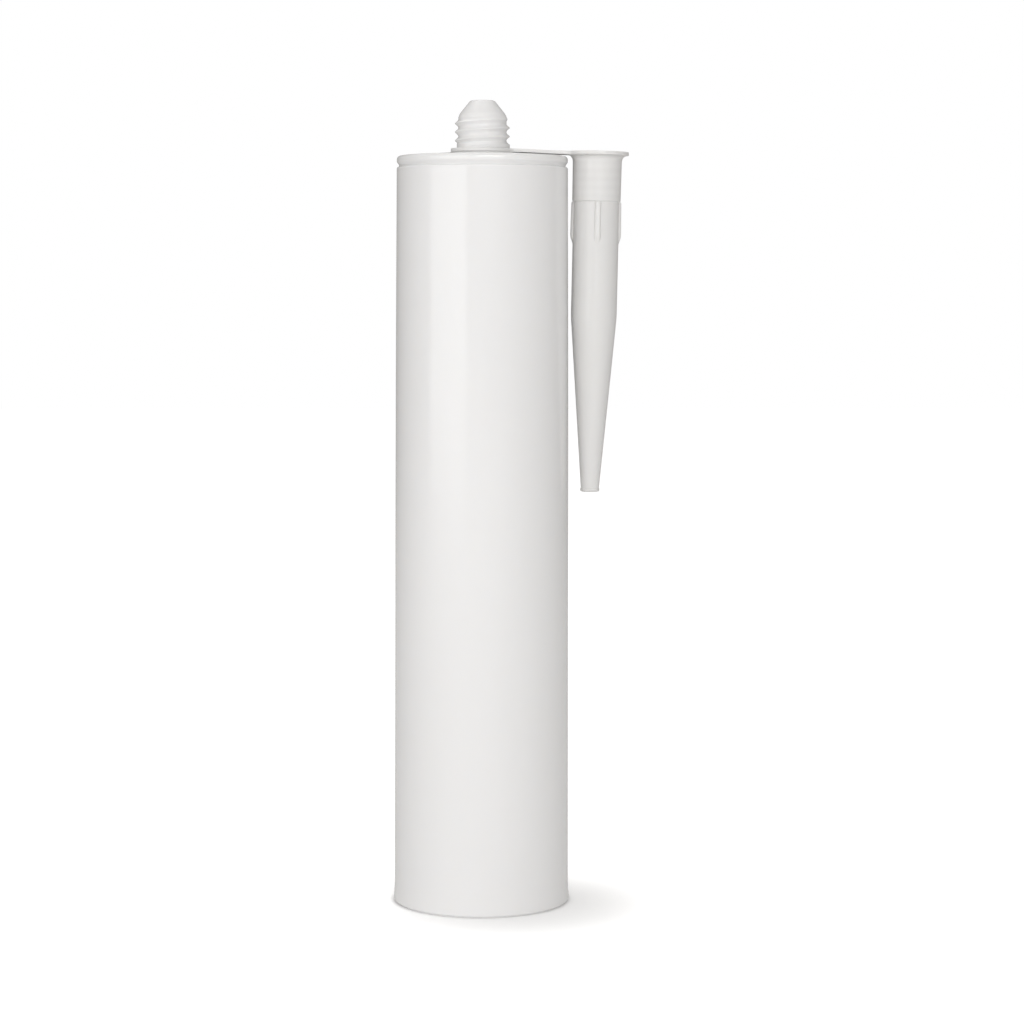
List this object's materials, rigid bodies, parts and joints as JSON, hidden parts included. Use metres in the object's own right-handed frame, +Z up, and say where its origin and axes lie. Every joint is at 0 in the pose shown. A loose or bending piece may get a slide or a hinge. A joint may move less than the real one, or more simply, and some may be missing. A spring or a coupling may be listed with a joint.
{
  "type": "sealant cartridge with nozzle",
  "caption": "Upright plastic sealant cartridge with a threaded closed neck, an inner piston, and a tapered nozzle hanging on a strap.",
  "frame": {"origin": "on the plane that the tube's open foot stands on, in the middle of the part's footprint", "axes": "+Z up along the tube's axis, +X from the tube to the hanging nozzle, +Y away from the viewer"},
  "size_m": [0.0666, 0.0504, 0.2284],
  "materials": {
    "white_moulding": "smooth semi-gloss white",
    "natural_moulding": "slightly translucent natural white, satin",
    "piston_moulding": "milky satin",
    "sealant_paste": "soft white paste"
  },
  "bodies": {
    "cartridge": {"cartridge_body": "white_moulding", "sealant": "sealant_paste"},
    "piston": {"piston": "piston_moulding"},
    "nozzle": {"nozzle": "natural_moulding"}
  },
  "joints": [
    {"name": "nozzle_swivel", "type": "hinge", "parent": "cartridge", "child": "nozzle", "pos_m": [-0.00811, 0, 0.21444], "axis": [0, 0, 1], "continuous": true},
    {"name": "piston_slide", "type": "slide", "parent": "cartridge", "child": "piston", "axis": [0, 0, 1], "range_m": [0, 0.179], "deforming": ["sealant"]}
  ]
}
